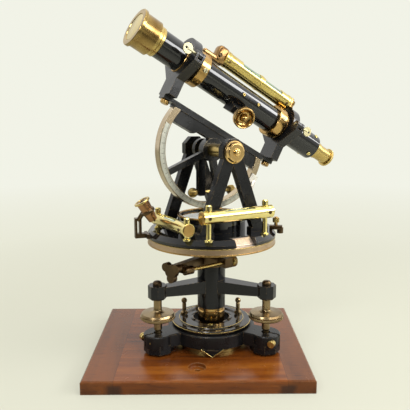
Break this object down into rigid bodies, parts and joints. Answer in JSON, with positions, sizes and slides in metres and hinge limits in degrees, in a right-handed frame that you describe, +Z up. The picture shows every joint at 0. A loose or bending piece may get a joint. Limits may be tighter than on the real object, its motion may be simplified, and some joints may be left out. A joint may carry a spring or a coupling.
{
  "type": "theodolite",
  "caption": "Wye theodolite on a case board: telescope with striding level in clipped wyes over an open vertical arc, compass plate, verniers and a three-screw foot.",
  "frame": {"origin": "underside of the case board, on the vertical axis of the instrument", "axes": "+Z up the vertical axis, +Y towards the back edge of the board, +X to the right"},
  "size_m": [0.2797, 0.1984, 0.3675],
  "materials": {
    "mahogany": "french polished",
    "black_lacquer": "black lacquer, worn at edges",
    "brass": "lacquered brass",
    "bronzed_brass": "bronzed, worn brass",
    "silvered": "silvered, satin",
    "steel": "blued steel",
    "dial_white": "matt",
    "glass": "clear",
    "vial": "spirit filled"
  },
  "bodies": {
    "base": {"case_board": "mahogany", "foot_flange": "bronzed_brass", "foot_plate": "black_lacquer", "base_screws": "brass", "shifting_ring": "black_lacquer", "ball_posts": "bronzed_brass", "spindle_seat": "brass", "tribrach": "black_lacquer", "dust_caps": "bronzed_brass", "lower_collar": "bronzed_brass"},
    "foot_screw_l": {"foot_screw_left": "brass"},
    "foot_screw_r": {"foot_screw_right": "brass"},
    "foot_screw_b": {"foot_screw_back": "brass"},
    "lower_clamp": {"lower_clamp_screw": "bronzed_brass"},
    "lower_tangent": {"lower_tangent_screw": "brass"},
    "limb": {"outer_spindle": "bronzed_brass", "horizontal_limb": "brass", "limb_scale": "silvered"},
    "upper_plate": {"inner_spindle": "steel", "vernier_plate": "black_lacquer", "verniers": "silvered", "compass_box": "black_lacquer", "compass_dial": "dial_white", "compass_glass": "glass", "front_level": "brass", "front_level_vial": "vial", "side_level": "brass", "side_level_vial": "vial", "level_posts": "bronzed_brass", "near_a_frame": "black_lacquer", "far_a_frame": "black_lacquer", "trunnion_caps": "brass", "vertical_clamp_arm": "black_lacquer", "vertical_vernier": "silvered"},
    "needle": {"compass_needle": "steel"},
    "reader": {"reader_arm": "bronzed_brass", "reader_magnifier": "brass"},
    "vertical_tangent": {"vertical_tangent_screw": "brass"},
    "arc": {"trunnion_axle": "brass", "vertical_arc": "black_lacquer", "arc_scale": "silvered", "wye_bar": "black_lacquer", "objective_wye": "black_lacquer", "eyepiece_wye": "black_lacquer", "wye_nuts": "brass", "objective_clip": "black_lacquer", "eyepiece_clip": "black_lacquer"},
    "pin_o": {"objective_pin": "brass"},
    "pin_e": {"eyepiece_pin": "brass"},
    "telescope": {"main_tube": "black_lacquer", "telescope_collars": "bronzed_brass", "telescope_level": "brass", "telescope_level_vial": "vial", "level_mounts": "bronzed_brass", "focus_box": "black_lacquer"},
    "focus": {"focus_knob": "brass"},
    "draw": {"draw_tube": "brass", "objective_lens": "glass"},
    "cap": {"objective_cap": "brass"},
    "eye": {"eyepiece": "brass"}
  },
  "joints": [
    {"name": "foot_screw_left_turn", "type": "hinge", "parent": "base", "child": "foot_screw_l", "pos_m": [-0.05794, -0.03345, 0.04], "axis": [0, 0, 1], "range_deg": [-720, 720]},
    {"name": "foot_screw_right_turn", "type": "hinge", "parent": "base", "child": "foot_screw_r", "pos_m": [0.05794, -0.03345, 0.04], "axis": [0, 0, 1], "range_deg": [-720, 720]},
    {"name": "foot_screw_back_turn", "type": "hinge", "parent": "base", "child": "foot_screw_b", "pos_m": [0, 0.0669, 0.04], "axis": [0, 0, 1], "range_deg": [-720, 720]},
    {"name": "lower_clamp_turn", "type": "hinge", "parent": "base", "child": "lower_clamp", "pos_m": [0, 0, 0.11], "axis": [-0.6046, -0.7965, 0], "range_deg": [-360, 90]},
    {"name": "lower_tangent_turn", "type": "hinge", "parent": "base", "child": "lower_tangent", "pos_m": [0.01541, -0.02106, 0.11], "axis": [0.807, 0.5906, 0], "range_deg": [-1080, 1080]},
    {"name": "limb_turn", "type": "hinge", "parent": "base", "child": "limb", "pos_m": [0, 0, 0.1285], "axis": [0, 0, 1], "continuous": true},
    {"name": "upper_plate_turn", "type": "hinge", "parent": "limb", "child": "upper_plate", "pos_m": [0, 0, 0.137], "axis": [0, 0, 1], "continuous": true},
    {"name": "needle_swing", "type": "hinge", "parent": "upper_plate", "child": "needle", "pos_m": [0, 0, 0.153], "axis": [0, 0, 1], "continuous": true},
    {"name": "reader_swing", "type": "hinge", "parent": "upper_plate", "child": "reader", "pos_m": [0, 0, 0.145], "axis": [0, 0, 1], "range_deg": [0, 12]},
    {"name": "vertical_tangent_turn", "type": "hinge", "parent": "upper_plate", "child": "vertical_tangent", "pos_m": [-0.0097, 0.01749, 0.181], "axis": [-0.8746, -0.4848, 0], "range_deg": [-1080, 1080]},
    {"name": "telescope_elevation", "type": "hinge", "parent": "upper_plate", "child": "arc", "pos_m": [0, 0, 0.2295], "axis": [0.4848, -0.8746, 0], "range_deg": [-26.5, 83.5]},
    {"name": "objective_pin_draw", "type": "slide", "parent": "arc", "child": "pin_o", "axis": [-0.7686, -0.4261, 0.4772], "range_m": [0, 0.014]},
    {"name": "eyepiece_pin_draw", "type": "slide", "parent": "arc", "child": "pin_e", "axis": [0.7686, 0.4261, -0.4772], "range_m": [0, 0.014]},
    {"name": "telescope_roll", "type": "hinge", "parent": "arc", "child": "telescope", "pos_m": [0.02713, 0.01504, 0.28662], "axis": [-0.7686, -0.4261, 0.4772], "range_deg": [-10, 10]},
    {"name": "focus_turn", "type": "hinge", "parent": "telescope", "child": "focus", "pos_m": [0.02544, 0.01932, 0.27516], "axis": [0.263, -0.8904, -0.3714], "range_deg": [0, 573]},
    {"name": "objective_draw", "type": "slide", "parent": "telescope", "child": "draw", "axis": [-0.7686, -0.4261, 0.4772], "range_m": [0, 0.02]},
    {"name": "cap_pull", "type": "slide", "parent": "draw", "child": "cap", "axis": [-0.7686, -0.4261, 0.4772], "range_m": [0, 0.03]},
    {"name": "eyepiece_focus", "type": "slide", "parent": "telescope", "child": "eye", "axis": [0.7686, 0.4261, -0.4772], "range_m": [0, 0.008]}
  ],
  "couplings": [
    {"joint": "focus_turn", "follows": "objective_draw", "rad_per_m": 500}
  ]
}
